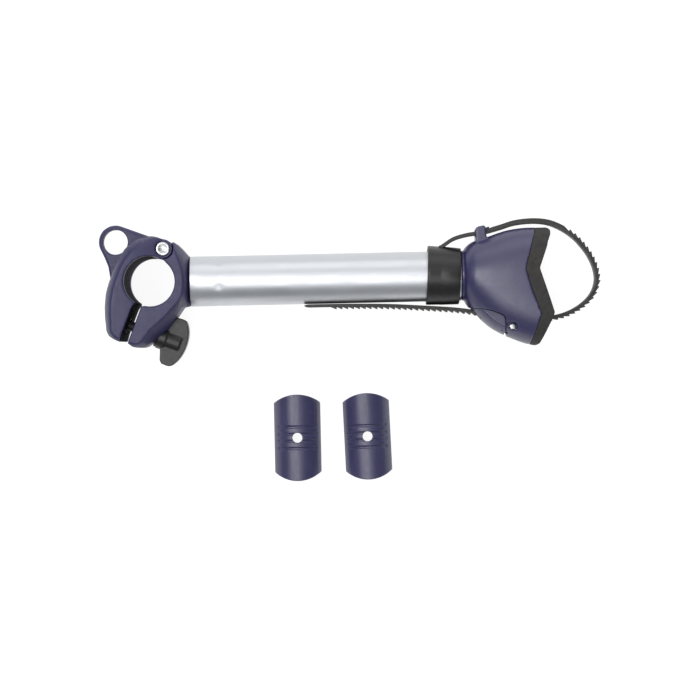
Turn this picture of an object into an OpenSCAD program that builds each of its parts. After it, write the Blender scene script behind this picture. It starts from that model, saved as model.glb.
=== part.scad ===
// Frame arm of a bicycle carrier: a hinged clamp for a rail, a tube, and a
// turning cradle head with a ratchet strap. Two loose half shells narrow the
// clamp for a thinner rail. X runs along the tube from the clamp to the head,
// Z runs along the clamped rail, and the origin is the middle of the bore.

/* [Clamp] */
// Diameter of the rail that the clamp closes on
rail_d = 30; // [28:0.5:31]
// Depth of the clamp along the rail, at its split
clamp_depth = 42; // [38:1:44]
// Depth of the clamp at the swinging jaw's crown, and of the head
crown_depth = 48; // [46:1:52]
// Gap between the two ears when the clamp is closed
ear_gap = 4.7; // [3:0.1:6]
// Lean of the split from the Y axis, in degrees
split_angle = 21.7; // [20:0.1:23]
// Distance from the hinge to the knob's stud
stud_reach = 49.9; // [49:0.1:51]
// Diameter of the hole in the lock eye
eye_d = 14.9; // [10:0.1:16]
// Thickness of the lock eye's plate
eye_plate = 9; // [6:0.5:12]

/* [Tube] */
// Outer diameter of the tube
tube_d = 30; // [29.5:0.1:30]
// Wall thickness of the tube
tube_wall = 1.5; // [1.2:0.1:2]
// Where the tube starts along X
tube_start = 23.2; // [23:0.1:24]
// Where the tube ends along X
tube_end = 185.2; // [185:0.1:185.3]
// Dimples crimped round the tube to hold it on the clamp
crimps = 6; // [3:1:8]
// Turn of the first dimple from the top towards +Y, in degrees
crimp_turn = 46; // [0:1:59]

/* [Strap] */
// Width of the strap
strap_w = 10; // [8:0.5:10.5]
// Distance from one tooth of the strap to the next
tooth_pitch = 3.5; // [3:0.1:4]
// Height of the strap's teeth
tooth_h = 1.4; // [1:0.1:1.5]

/* [Adapter shells] */
// Diameter of the thinner rail that the shells are made for
thin_rail_d = 25; // [22:0.5:26]
// Length of a shell along its crown
shell_l = 52.5; // [48:0.5:56]

/* [Part to draw] */
// Name of one node, or all

/* [Hidden] */

$fn = 64;
navy = [0.26, 0.25, 0.38];
charcoal = [0.14, 0.14, 0.14];
rubber = [0.22, 0.22, 0.21];
alloy = [0.82, 0.84, 0.86];
steel = [0.72, 0.73, 0.74];
nylon = [0.85, 0.84, 0.80];

rail_r = rail_d / 2;
half = crown_depth / 2;
run_gap = 0.05;    // radial gap of a pin in its hole
play = 0.3;        // gap between pieces that move past each other
far = 200;         // longer than anything that is cut

hinge = [8.4, 19.15];
knuckle_r = 5.7;
knuckle_half = 12;           // half height of the fixed jaw's middle knuckle
hinge_screw_r = 2.5;
screw_head_r = 4.2;
screw_head_z = 16.4;         // underside of the screw head
screw_top = 20.6;
hinge_nut_af = 8;
hinge_nut_z = -19.6;

stud_r = 3;
stud_tip = -ear_gap - 6;     // places along the stud, from the split's face
stud_end = 25;
spot_face = 13;
washer_t = 1.2;
hub_start = spot_face + washer_t + 0.2;
hub_r = 7;
wing_reach = 14.6;
wing_inner = 20.6;
knob_crown = 32.1;
wing_end = 28;
wing_half = 4.6;
insert_r = 5;
insert_l = 8;

eye_at = [-21.3, 24.5];
eye_rim_r = 10.1;

tube_r = tube_d / 2;
tube_in_r = tube_r - tube_wall;
plug_start = 158;
plug_end = tube_end - 1;
bolt_r = 4;
nut_af = 13;
nut_h = 6.5;
neck_start = tube_end + 0.2;
head_start = 187.5;
bolt_seat = 193;             // inside face of the head's end wall

pin_at = [214.5, -31.3];
pin_r = 1.8;
pin_half = 17;
lever_half = 15.5;
lever_arm_half = 12;
strap_room = strap_w / 2 + 0.8;

collar_l = 19.8;
collar_at = [174.7, 0.25];
collar_tilt = 3;
collar_in_r = 16;

shell_arc = 71.3;            // half angle of a shell's section
shell_end_r = 22.15;         // radius of a shell's arched ends, from above
shell_a_at = [84.7, -95.7];
shell_b_at = [127.3, -95.7];
shell_b_turn = 1.7;

// ---- curves -------------------------------------------------------------

// Points of a smooth curve through p, with n steps between two of them
function bend(p, n) = concat([for (i = [0 : len(p) - 2], k = [0 : n - 1])
    let (t = k / n, a = p[max(i - 1, 0)], b = p[i], c = p[i + 1],
         d = p[min(i + 2, len(p) - 1)])
    b + t / 2 * ((c - a) + t * ((2 * a - 5 * b + 4 * c - d)
      + t * (3 * b - 3 * c + d - a)))], [p[len(p) - 1]]);

// Length along p up to each of its points
function run_up(p, i = 0, sum = 0) = i >= len(p) ? [] :
    let (s = i == 0 ? 0 : sum + norm(p[i] - p[i - 1]))
    concat([s], run_up(p, i + 1, s));

// ---- strap: its route, and points beside it -----------------------------

strap_route = bend([[172.5, 16.9], [175, 18.2], [181.4, 22.2], [189.6, 24.4],
    [197.3, 25.5], [209, 28.5], [217, 30.9], [225, 31.9], [232, 31.9],
    [238.6, 30.8], [244.5, 28.4], [250, 25.1], [255, 21], [259, 16.4],
    [262.5, 11.4], [265.6, 4.8], [267, -1.7], [266.6, -6.8], [264.4, -12.4],
    [260.4, -17.2], [254.4, -21.6], [247, -24.9], [238, -26.8], [229, -27.3],
    [216, -26.8], [202, -25.1], [193.3, -22.5], [181.2, -20.6],
    [163.2, -19.1], [148, -18], [136, -17.4], [118, -17], [104.5, -16.9],
    [91, -16.9]], 4);
strap_runs = run_up(strap_route);
strap_l = strap_runs[len(strap_runs) - 1];
guide_s = 27;                // length at which the strap passes its guide
teeth_s = 82;                // length at which the teeth begin
tooth_n = floor((strap_l - 13 - teeth_s) / tooth_pitch);
teeth_end_s = teeth_s + tooth_n * tooth_pitch;

// Index of the route's span that holds length s
function span_of(s) = max([for (i = [0 : len(strap_runs) - 2])
    strap_runs[i] <= s ? i : 0]);

// Point at length s along the strap, and a distance off to its outer side
function beside(s, off) = let (i = span_of(s), a = strap_route[i],
    b = strap_route[i + 1], d = (b - a) / norm(b - a))
    a + d * (s - strap_runs[i]) + off * [-d[1], d[0]];

// Closed band that follows the strap between two lengths
function band(s0, s1, out, in, step) = let (n = ceil((s1 - s0) / step))
    concat([for (i = [0 : n]) beside(s0 + (s1 - s0) * i / n, out)],
           [for (i = [n : -1 : 0]) beside(s0 + (s1 - s0) * i / n, -in)]);

strap_in = 1.6;              // distance from the route to the strap's inner face
tooth_root = 0.2;            // distance from the route to the foot of a tooth
strap_outline = concat(
    [for (s = [0 : 3 : guide_s - 2]) beside(s, 1.1)],
    [beside(guide_s + 3, 1.1), beside(guide_s + 3.3, 2.1),
     beside(guide_s + 5.4, 1.8), beside(guide_s + 5.7, 1.4)],
    [for (s = [guide_s + 9 : 4 : teeth_s - 4]) beside(s, 1.4)],
    [for (i = [0 : tooth_n - 1], e = [0, 1])
        beside(teeth_s + i * tooth_pitch + e * 0.05,
               tooth_root + e * tooth_h)],
    [beside(teeth_end_s, tooth_root), beside(strap_l - 2, tooth_root),
     beside(strap_l - 0.01, -0.3), beside(strap_l - 0.01, -1.1),
     beside(strap_l - 2, -strap_in)],
    [for (s = [strap_l - 6 : -3.5 : guide_s + 3]) beside(s, -strap_in)],
    [for (s = [guide_s - 3 : -3 : 0]) beside(s, -1.1)]);

// ---- frames -------------------------------------------------------------

// Stands on the split's face with X along the stud
module stud_frame()
    translate(hinge) rotate(-split_angle) translate([0, -stud_reach, 0])
        children();

// Bar along X between two places
module bar(x0, x1, r)
    translate([x0, 0, 0]) rotate([0, 90, 0]) cylinder(h = x1 - x0, r = r);

// Six-sided prism along Z, by its width across flats
module hex(af, h) cylinder(h = h, r = af / 2 / cos(30), $fn = 6);

module at_pin() translate([pin_at[0], pin_at[1], 0]) children();

// Slab of an outline, centred on the mid plane
module slab(outline, depth)
    linear_extrude(depth, center = true) polygon(outline);

// ---- clamp --------------------------------------------------------------

base_outline = concat(
    [[8.4, 12], [8.4, 20], [13.6, 21.5], [13.9, 23.3], [15, 23]],
    [[18.2, 19.9], [22.6, 15], [tube_start, 15], [tube_start, -15]],
    bend([[18.6, -15.4], [15.1, -20.6], [9.9, -28], [4, -32.8],
          [-2.4, -37.9], [-6.6, -39.2], [-10.8, -38.6]], 3),
    [[-13.7, -36.4]],
    [for (s = [stud_reach + 14.1 - 23.6 : -1 : stud_reach - 12])
        hinge + s * [-sin(split_angle), -cos(split_angle)]],
    [[0, 0]]);

// Rolls the fixed jaw's corners off towards the tube and along its ear
module base_envelope() intersection() {
    rotate([90, 0, 90]) translate([0, 0, -60]) linear_extrude(far)
        translate([-60, -clamp_depth / 2]) square([120, clamp_depth]);
    rotate([0, 90, 0]) rotate_extrude()
        polygon([[0, -60], [75, -60], [75, 8], [34, 11], [27, 16],
                 [21, 20], [tube_r, 22.6], [tube_r, tube_start], [0, tube_start]]);
}

module clamp_base() color(navy) difference() {
    union() {
        intersection() {
            slab(base_outline, clamp_depth);
            base_envelope();
        }
        translate(hinge)
            cylinder(h = 2 * knuckle_half, r = knuckle_r, center = true);
        bar(12, tube_start, tube_r);
        bar(tube_start, 48, tube_in_r - run_gap);
    }
    cylinder(h = far, r = rail_r, center = true);
    bar(27, 60, tube_in_r - 3);
    translate(hinge) {
        cylinder(h = far, r = hinge_screw_r + run_gap, center = true);
        for (side = [0, 1]) mirror([0, 0, side])
            translate([0, 0, knuckle_half])
                cylinder(h = far, r = knuckle_r + 0.5);
    }
    stud_frame() {
        bar(-far / 2, far / 2, stud_r + play);
        bar(spot_face, far, hub_r + 1);
        // room for the turning wings
        translate([17.4, 0, 0]) rotate([0, 90, 0])
            cylinder(h = 2.4, r1 = 8.4, r2 = wing_reach + 0.9);
        bar(19.8, far, wing_reach + 0.9);
    }
}

jaw_outline = concat(
    bend([[8.4, 24.85], [1, 27.1], [-7, 25.2], [-13, 21.4], [-17, 16],
          [-20.2, 10], [-23.2, 4], [-26, -3], [-27.5, -10], [-27.9, -18],
          [-27.4, -25], [-26.2, -30.2], [-22.6, -33.4], [-17.8, -35.6]], 3),
    [for (s = [stud_reach + 6 : -8 : stud_reach - 16])
        hinge + s * [-sin(split_angle), -cos(split_angle)]
              - ear_gap * [cos(split_angle), -sin(split_angle)]],
    [[0, 0], [8.4, 12]]);

// Barrelled front and back faces of the swinging jaw
module jaw_lens() {
    swell_r = 104;
    swell_x = -20;
    intersection_for(side = [-1, 1])
        translate([swell_x, 0, side * (half - swell_r)])
            rotate([90, 0, 0]) cylinder(h = far, r = swell_r, center = true,
                                        $fn = 128);
}

module clamp_jaw() color(navy) difference() {
    union() {
        intersection() {
            slab(jaw_outline, crown_depth);
            jaw_lens();
        }
        translate(hinge)
            cylinder(h = 2 * 20.1, r = knuckle_r, center = true);
        linear_extrude(eye_plate, center = true) union() {
            translate(eye_at) circle(r = eye_rim_r);
            polygon([[-17.9, 34], [0, 27.2], [-8, 20], [-20, 2], [-24.6, 1],
                     [-26, 10], [-28.4, 16], [-30.6, 20.6], [-22, 26]]);
        }
    }
    cylinder(h = far, r = rail_r, center = true);
    translate(eye_at) cylinder(h = far, r = eye_d / 2, center = true);
    translate(hinge) {
        cylinder(h = 2 * (knuckle_half + play), r = knuckle_r + 0.5,
                 center = true);
        cylinder(h = far, r = hinge_screw_r, center = true);
        translate([0, 0, screw_head_z]) cylinder(h = far, r = screw_head_r);
        translate([0, 0, hinge_nut_z - far]) hex(hinge_nut_af, far + 4);
    }
    stud_frame() bar(-ear_gap - insert_l, 0, insert_r);
}

module hinge_screw() color(steel) translate(hinge) difference() {
    union() {
        translate([0, 0, -19.8])
            cylinder(h = 19.8 + screw_head_z, r = hinge_screw_r);
        translate([0, 0, screw_head_z])
            cylinder(h = screw_top - screw_head_z, r = screw_head_r - run_gap);
    }
    translate([0, 0, screw_top - 2.6]) hex(4, 3);
}

module hinge_nut() color(steel)
    translate([hinge[0], hinge[1], hinge_nut_z]) difference() {
        hex(hinge_nut_af - 0.1, 4);
        cylinder(h = far, r = hinge_screw_r, center = true);
    }

module jaw_insert() color("goldenrod") stud_frame() difference() {
    bar(-ear_gap - insert_l, -ear_gap - 0.3, insert_r - 0.01);
    bar(-ear_gap - insert_l + 1, 0, stud_r + 0.8);
}

module knob_washer() color(steel) stud_frame() difference() {
    bar(spot_face + 0.1, spot_face + 0.1 + washer_t, 6.5);
    bar(0, far, stud_r + play);
}

knob_outline = concat(
    [[hub_start + 3.6, -hub_r], [wing_inner - 0.6, -wing_reach + 1.5]],
    bend([[wing_inner + 1, -wing_reach], [wing_end - 1.6, -wing_reach],
          [wing_end + 1, -wing_reach + 2.6], [knob_crown - 0.9, -7],
          [knob_crown, 0], [knob_crown - 0.9, 7],
          [wing_end + 1, wing_reach - 2.6], [wing_end - 1.6, wing_reach],
          [wing_inner + 1, wing_reach]], 3),
    [[wing_inner - 0.6, wing_reach - 1.5], [hub_start + 3.6, hub_r]]);

module wing_knob() color(charcoal) stud_frame() difference() {
    union() {
        slab(knob_outline, 2 * wing_half);
        bar(hub_start, hub_start + 5, hub_r);
        bar(hub_start + 5, knob_crown - 4, hub_r - 0.8);
    }
    bar(0, stud_end, stud_r);
}

module knob_stud() color(steel) stud_frame()
    bar(stud_tip, stud_end, stud_r);

// ---- tube and swivel ----------------------------------------------------

module arm_tube() color(alloy) difference() {
    bar(tube_start, tube_end, tube_r);
    bar(tube_start - 1, tube_end + 1, tube_in_r);
    crimp_r = 9;
    for (i = [0 : crimps - 1]) rotate([i * 360 / crimps - crimp_turn, 0, 0])
        translate([40.6, 0, tube_r + crimp_r - 0.5]) sphere(r = crimp_r);
}

module tube_plug() color(charcoal) difference() {
    bar(plug_start, plug_end, tube_in_r - run_gap);
    bar(0, far, bolt_r + 0.1);
    translate([plug_start - 1, 0, 0]) rotate([0, 90, 0])
        hex(nut_af + 0.1, nut_h + 1.5);
}

module swivel_nut() color(steel) difference() {
    translate([plug_start + 0.4, 0, 0]) rotate([0, 90, 0]) hex(nut_af, nut_h);
    bar(0, far, bolt_r);
}

module swivel_washer() color(steel) difference() {
    bar(bolt_seat + 0.1, bolt_seat + 1.7, 8);
    bar(0, far + 20, bolt_r);
}

module swivel_bolt() color(steel) {
    bar(plug_start - 1, bolt_seat + 1.7, bolt_r);
    translate([bolt_seat + 1.7, 0, 0]) rotate([0, 90, 0]) hex(nut_af, 5.3);
}

module friction_washer() color(nylon) difference() {
    bar(plug_end + 0.1, tube_end + 0.1, tube_in_r - 0.2);
    bar(0, far, bolt_r + play);
}

// ---- cradle head --------------------------------------------------------

head_side = concat([[head_start, 0]],
    bend([[head_start, 16.5], [190.4, 19], [193.6, 20.7], [201.4, 22.9],
          [212.2, 26.2], [222.4, 27.8], [240, 27.8]], 3),
    [[245, 27.8], [245, -50]],
    bend([[225.2, -42.4], [214, -37.8], [207.7, -34.9], [202.2, -31.5],
          [194.5, -24.7], [190.8, -20.9], [head_start, -16.8]], 3));

// Line of the head's face, which the back of the pad sits on
pad_back = [[230.3, 27.7], [229.2, 25.8], [224.3, 9.2], [222.6, 2.9],
    [226, -9.3], [231.5, -24.2], [230.1, -27.9], [225.9, -40], [225.2, -43]];

// Rounded rectangle with its corners at two points
module soft_rect(low, high, r) union() {
    translate(low + [r, 0]) square([high[0] - low[0] - 2 * r, high[1] - low[1]]);
    translate(low + [0, r]) square([high[0] - low[0], high[1] - low[1] - 2 * r]);
    for (x = [low[0] + r, high[0] - r], y = [low[1] + r, high[1] - r])
        translate([x, y]) circle(r = r);
}

// Outer shape of the head: a round neck that swells to a squared face
module head_envelope() intersection() {
    slab(head_side, crown_depth);
    rotate([90, 0, 0]) linear_extrude(far, center = true)
        for (side = [0, 1]) mirror([0, side])
            polygon(concat([[head_start, -1]],
                bend([[head_start, 16.5], [193, 20.4], [201, 23],
                      [212, half], [225, half]], 3), [[250, half], [250, -1]]));
    translate([head_start, 0, 0]) rotate([90, 0, 90]) linear_extrude(60)
        soft_rect([-42.8, -half], [27.8, half], 9);
    rotate([0, 90, 0]) rotate_extrude()
        polygon(concat([[0, head_start]],
            bend([[16.5, head_start], [21.4, 190.8], [26.4, 194.5],
                  [34, 200], [44, 207], [52, 213]], 2), [[70, 260], [0, 260]]));
}

notch_line = concat([[180, -19.2]],
    bend([[188, -19.3], [194, -19.9], [200.8, -20.8], [206, -22.5],
          [209.7, -24.4], [210.8, -26.5]], 3));

module strap_channel(s0, s1, room)
    slab(band(s0, s1, tooth_root + tooth_h + room, strap_in + room, 4),
         2 * strap_room);

module head_housing() color(navy) difference() {
    union() {
        bar(neck_start, head_start + 0.5, tube_r - 0.1);
        head_envelope();
        // guide that the strap passes through
        difference() {
            slab(concat([[194.4, 15]], bend([[194.4, 27.6], [195.6, 28.9],
                        [199, 29.6], [200.2, 28], [200.5, 23]], 3),
                        [[201, 15]]), 17.6);
            strap_channel(guide_s - 8, guide_s + 8, 0.4);
        }
    }
    slab(concat([[230.3, 40]], pad_back, [[225.2, -60], [260, -60], [260, 40]]),
         far);
    bar(0, bolt_seat + 1, bolt_r + run_gap);
    bar(bolt_seat, 250, 9.4);
    // hollow behind the pad
    intersection() {
        slab([[201, -16], [201, 18.5], [213, 22.5], [250, 24], [250, -16]],
             crown_depth - 7);
        translate([head_start, 0, 0]) rotate([90, 0, 90]) linear_extrude(80)
            soft_rect([-18, -half + 4], [23.5, half - 4], 7);
    }
    // notch that the lever fills, and room for its arms
    slab(concat(notch_line, [[210.8, -31.3], [212.6, -42], [212.6, -60],
                             [180, -60]]), far);
    slab([[209, -24.4], [212.5, -26.4], [214.5, -26.9], [214.5, -60],
          [209, -60]], 2 * (lever_arm_half + 0.4));
    at_pin() {
        cylinder(h = 2 * (lever_arm_half + 0.4), r = 4.4, center = true);
        cylinder(h = far, r = pin_r, center = true);
    }
    for (side = [0, 1]) mirror([0, 0, side]) translate([0, 0, 16])
        linear_extrude(far) soft_rect([209, -35.2], [217.8, -27.2], 1.6);
    strap_channel(148, 225, 0.8);
}

pad_front = [[228.6, -43], [230.9, -41.6], [238.6, -25.6], [239.2, -23.3],
    [235.7, -12.1], [230.9, 2.9], [235.8, 16.3], [236.3, 18.6], [238.2, 23.2],
    [238.5, 25.8], [236.8, 27.7]];

module v_pad() color(rubber) difference() {
    intersection() {
        slab(concat(pad_front, pad_back), crown_depth);
        translate([200, 0, 0]) rotate([90, 0, 90]) linear_extrude(60)
            soft_rect([-43, -half], [27.8, half], 7);
    }
    strap_channel(148, 195, 0.8);
}

module strap_collar() color(charcoal)
    translate(collar_at) rotate(-collar_tilt) difference() {
        rotate([0, 90, 0]) rotate_extrude() polygon([
            [collar_in_r, -collar_l / 2], [17.4, -collar_l / 2],
            [17.8, -collar_l / 2 + 0.5], [16.9, collar_l / 2 - 0.5],
            [16.6, collar_l / 2], [collar_in_r, collar_l / 2]]);
        // slot that holds the root of the strap
        translate([-6.9, 0, -strap_w / 2]) cube([16, 30, strap_w]);
    }

module ratchet_strap() color(charcoal)
    slab(strap_outline, strap_w);

// Number of the tooth that the lever's pawl holds
held_tooth = 30;
pawl_s = teeth_s + held_tooth * tooth_pitch;

lever_top = bend([[191.4, -20.2], [200.6, -21.5], [205.7, -23.2],
    [209.2, -25], [210.2, -26.6]], 3);

module ratchet_lever() color(navy) difference() {
    union() {
        difference() {
            intersection() {
                slab(concat(lever_top, [[210.2, -31.3], [209.7, -37],
                                        [180, -60], [180, -18]]),
                     2 * lever_half);
                head_envelope();
            }
            slab(concat([[180, -21.2]],
                [for (s = [246 : -4 : 214]) beside(s, strap_in + 0.6)],
                [[212, -28.9], [212, 0], [180, 0]]), 2 * strap_room + 0.4);
        }
        for (side = [0, 1]) mirror([0, 0, side])
            translate([0, 0, strap_room + 0.2])
                linear_extrude(lever_arm_half - strap_room - 0.2) union() {
                    translate(pin_at) circle(r = 3.7);
                    polygon([[209, -25.6], [212.6, -27.9], [214.5, -27.6],
                             [214.5, -35], [211.5, -34.2], [209, -34.6]]);
                }
        slab([beside(pawl_s - 0.6, 0.75), beside(pawl_s - 0.6, 4.4),
              beside(pawl_s - 3.6, 4.4), beside(pawl_s - 3.6, 2.1)],
             2 * strap_room + 2);
    }
    at_pin() cylinder(h = far, r = pin_r + run_gap, center = true);
}

module ratchet_pin() color(steel) at_pin()
    cylinder(h = 2 * pin_half, r = pin_r, center = true);

module lever_spring() color(steel) at_pin() {
    wire_r = 0.35;
    for (z = [-2.4 : 2 * wire_r - 0.02 : 2.4]) translate([0, 0, z])
        rotate_extrude() translate([pin_r + wire_r + 0.15, 0])
            circle(r = wire_r, $fn = 16);
}

// ---- adapter shells -----------------------------------------------------

// Half shell with its crown up and its long edges on the ground
module adapter_shell(at, turn) {
    out_r = rail_r;
    in_r = thin_rail_d / 2;
    axis_z = -half - in_r * cos(shell_arc);
    groove_half = 12;
    end_mid = shell_l / 2 - shell_end_r;
    color(navy) translate([at[0], at[1], axis_z]) rotate(turn) difference() {
        intersection() {
            rotate([90, 0, 0]) cylinder(h = far, r = out_r, center = true);
            linear_extrude(out_r + 1) intersection() {
                square([2 * out_r * sin(shell_arc), far], center = true);
                for (side = [-1, 1]) translate([0, side * end_mid])
                    circle(r = shell_end_r);
            }
            translate([-far / 2, -far / 2, in_r * cos(shell_arc)])
                cube([far, far, far]);
        }
        rotate([90, 0, 0]) cylinder(h = far, r = in_r, center = true);
        cylinder(h = far, r = 3);
        for (y = [-6.5, -2.1, 2.1, 6.5]) intersection() {
            translate([0, y, 0]) rotate([90, 0, 0]) difference() {
                cylinder(h = 1.5, r = out_r + 1, center = true);
                cylinder(h = far, r = out_r - 0.6, center = true);
            }
            translate([-groove_half, -far / 2, 0])
                cube([2 * groove_half, far, far]);
        }
    }
}

module adapter_shell_a() adapter_shell(shell_a_at, 0);
module adapter_shell_b() adapter_shell(shell_b_at, shell_b_turn);

clamp_base();
clamp_jaw();
hinge_screw();
hinge_nut();
jaw_insert();
knob_washer();
wing_knob();
knob_stud();
arm_tube();
tube_plug();
swivel_bolt();
swivel_washer();
swivel_nut();
friction_washer();
head_housing();
v_pad();
strap_collar();
ratchet_strap();
ratchet_lever();
ratchet_pin();
lever_spring();
adapter_shell_a();
adapter_shell_b();
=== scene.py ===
"""Looks of a bicycle carrier's frame arm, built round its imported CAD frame.

Lengths in this file are millimetres until a mesh is made, which is in metres.
X runs along the tube, and Z is the axis of the rail that the clamp holds.
"""

from __future__ import annotations

import logging
import math
from dataclasses import dataclass, field
from enum import Enum
from typing import Any, Iterable, Mapping, Sequence

import bmesh
import bpy
import numpy as np
from mathutils import Matrix, Vector


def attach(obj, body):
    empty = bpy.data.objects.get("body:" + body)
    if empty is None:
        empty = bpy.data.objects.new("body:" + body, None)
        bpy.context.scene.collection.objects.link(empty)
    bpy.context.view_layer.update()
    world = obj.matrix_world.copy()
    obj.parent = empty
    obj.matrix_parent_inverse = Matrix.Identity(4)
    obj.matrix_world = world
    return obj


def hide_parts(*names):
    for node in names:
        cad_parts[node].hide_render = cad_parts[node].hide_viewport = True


LOG = logging.getLogger("frame_arm")
MM = 0.001
# half length in millimetres of a cutter that goes right through the arm
THROUGH = 60
# watts of an area light for each square metre, at a radiance of 1
WATTS_PER_AREA = 4

Point = tuple[float, float]
Colour = tuple[float, float, float, float]

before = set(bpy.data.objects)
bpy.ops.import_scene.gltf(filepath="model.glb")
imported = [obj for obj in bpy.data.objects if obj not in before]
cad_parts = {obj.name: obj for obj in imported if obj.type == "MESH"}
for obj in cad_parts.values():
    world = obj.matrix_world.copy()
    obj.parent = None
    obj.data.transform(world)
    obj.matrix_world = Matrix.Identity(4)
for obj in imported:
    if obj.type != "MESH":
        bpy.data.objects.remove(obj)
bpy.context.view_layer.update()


# ---- small tools --------------------------------------------------------


class Cut(Enum):
    """What a boolean does with its second mesh."""

    AWAY = "DIFFERENCE"
    COMMON = "INTERSECT"
    JOIN = "UNION"


def linear(hex_colour: str) -> Colour:
    """Turns an sRGB hex colour into a linear one.

    Args:
        hex_colour: six hex digits, such as "55536e".

    Returns:
        Linear red, green and blue, and an alpha of 1.
    """
    parts = [int(hex_colour[i : i + 2], 16) / 255 for i in (0, 2, 4)]
    red, green, blue = (
        c / 12.92 if c <= 0.04045 else ((c + 0.055) / 1.055) ** 2.4 for c in parts
    )
    return (red, green, blue, 1.0)


def add_node(
    tree: bpy.types.NodeTree,
    kind: str,
    settings: Mapping[str, Any] | None = None,
    inputs: Mapping[Any, Any] | None = None,
) -> bpy.types.Node:
    """Adds a node to a tree, with its settings, values and links.

    Args:
        tree: shader or geometry tree.
        kind: the node's type name.
        settings: attributes to set on the node.
        inputs: socket name or number to a value, or to the socket it is fed by.

    Returns:
        The new node.
    """
    node = tree.nodes.new(kind)
    for name, value in (settings or {}).items():
        setattr(node, name, value)
    for key, value in (inputs or {}).items():
        socket = node.inputs[key]
        if isinstance(value, bpy.types.NodeSocket):
            tree.links.new(value, socket)
        else:
            socket.default_value = value
    return node


def bend(points: Sequence[Point], steps: int) -> np.ndarray:
    """Smooth curve through some points.

    Args:
        points: the points, in order.
        steps: spans between two of them.

    Returns:
        The curve's points, one to a row.
    """
    given = np.array(points, float)
    last = len(given) - 1
    out = []
    for i in range(last):
        a, b = given[max(i - 1, 0)], given[i]
        c, d = given[i + 1], given[min(i + 2, last)]
        for k in range(steps):
            t = k / steps
            cubic = 3 * b - 3 * c + d - a
            out.append(b + t / 2 * ((c - a) + t * ((2 * a - 5 * b + 4 * c - d) + t * cubic)))
    out.append(given[last])
    return np.array(out)


def arc(centre: Point, radius: float, start: float, end: float, steps: int) -> list[Point]:
    """Points of an arc, from one angle to another in degrees."""
    angles = np.radians(np.linspace(start, end, steps + 1))
    return [(centre[0] + radius * math.cos(a), centre[1] + radius * math.sin(a)) for a in angles]


# ---- meshes -------------------------------------------------------------


def mesh_object(
    name: str, verts: Iterable[Sequence[float]], faces: Iterable[Sequence[int]]
) -> bpy.types.Object:
    """Makes an object of vertices in millimetres, with its faces turned outwards.

    Args:
        name: name of the object.
        verts: places of the vertices.
        faces: vertex numbers of each face.

    Returns:
        The object, at the origin.
    """
    mesh = bpy.data.meshes.new(name)
    places = [tuple(float(c) * MM for c in v) for v in verts]
    mesh.from_pydata(places, [], [tuple(f) for f in faces])
    tidy = bmesh.new()
    tidy.from_mesh(mesh)
    bmesh.ops.remove_doubles(tidy, verts=tidy.verts, dist=1e-6)
    bmesh.ops.recalc_face_normals(tidy, faces=tidy.faces)
    tidy.to_mesh(mesh)
    tidy.free()
    obj = bpy.data.objects.new(name, mesh)
    bpy.context.scene.collection.objects.link(obj)
    return obj


def grid_faces(rings: int, around: int, looped: bool = False) -> list[tuple[int, ...]]:
    """Faces of a skin over rings of vertices.

    Args:
        rings: number of rings.
        around: vertices in a ring.
        looped: whether the last ring meets the first. If not, both ends are capped.

    Returns:
        Vertex numbers of each face.
    """
    faces: list[tuple[int, ...]] = [
        (
            i * around + k,
            i * around + (k + 1) % around,
            (i + 1) % rings * around + (k + 1) % around,
            (i + 1) % rings * around + k,
        )
        for i in range(rings if looped else rings - 1)
        for k in range(around)
    ]
    if not looped:
        faces += [tuple(range(around)), tuple((rings - 1) * around + k for k in range(around))]
    return faces


def prism(name: str, outline: Sequence[Point], low: float, high: float) -> bpy.types.Object:
    """Solid with an outline in the XY plane, between two heights."""
    count = len(outline)
    verts = [(x, y, z) for z in (low, high) for x, y in outline]
    sides = [(i, (i + 1) % count, (i + 1) % count + count, i + count) for i in range(count)]
    caps = [tuple(range(count)), tuple(range(2 * count - 1, count - 1, -1))]
    return mesh_object(name, verts, sides + caps)


def lathe(
    name: str, profile: Sequence[Point], segments: int = 96, closed: bool = False
) -> bpy.types.Object:
    """Turns a profile about the X axis.

    Args:
        name: name of the object.
        profile: (place along X, radius) pairs. An open profile is capped.
        segments: number of steps in a turn.
        closed: whether the profile is a ring that doesn't meet the axis.

    Returns:
        The solid.
    """
    verts = [
        (x, r * math.cos(a), r * math.sin(a))
        for x, r in profile
        for a in np.linspace(0, 2 * math.pi, segments, endpoint=False)
    ]
    return mesh_object(name, verts, grid_faces(len(profile), segments, closed))


def evaluated(obj: bpy.types.Object) -> bpy.types.Object:
    """Applies an object's modifiers, so that a plain mesh is left.

    Args:
        obj: a mesh or a curve.

    Returns:
        The same object, or the new one that stands for a curve.
    """
    depsgraph = bpy.context.evaluated_depsgraph_get()
    mesh = bpy.data.meshes.new_from_object(obj.evaluated_get(depsgraph), depsgraph=depsgraph)
    obj.modifiers.clear()
    if obj.type == "MESH":
        obj.data = mesh
        return obj
    name = obj.name
    bpy.data.objects.remove(obj)
    plain = bpy.data.objects.new(name, mesh)
    bpy.context.scene.collection.objects.link(plain)
    return plain


def drop(*objects: bpy.types.Object) -> None:
    """Removes helper objects."""
    for obj in objects:
        bpy.data.objects.remove(obj)


def carve(obj: bpy.types.Object, kind: Cut, *tools: bpy.types.Object) -> None:
    """Cuts an object with others, or joins them to it, and removes the others.

    Args:
        obj: object that is kept.
        kind: what is done.
        tools: objects that it is done with.
    """
    for tool in tools:
        modifier = obj.modifiers.new("carve", "BOOLEAN")
        modifier.operation = kind.value
        modifier.solver = "EXACT"
        modifier.object = tool
        evaluated(obj)
        drop(tool)


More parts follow.
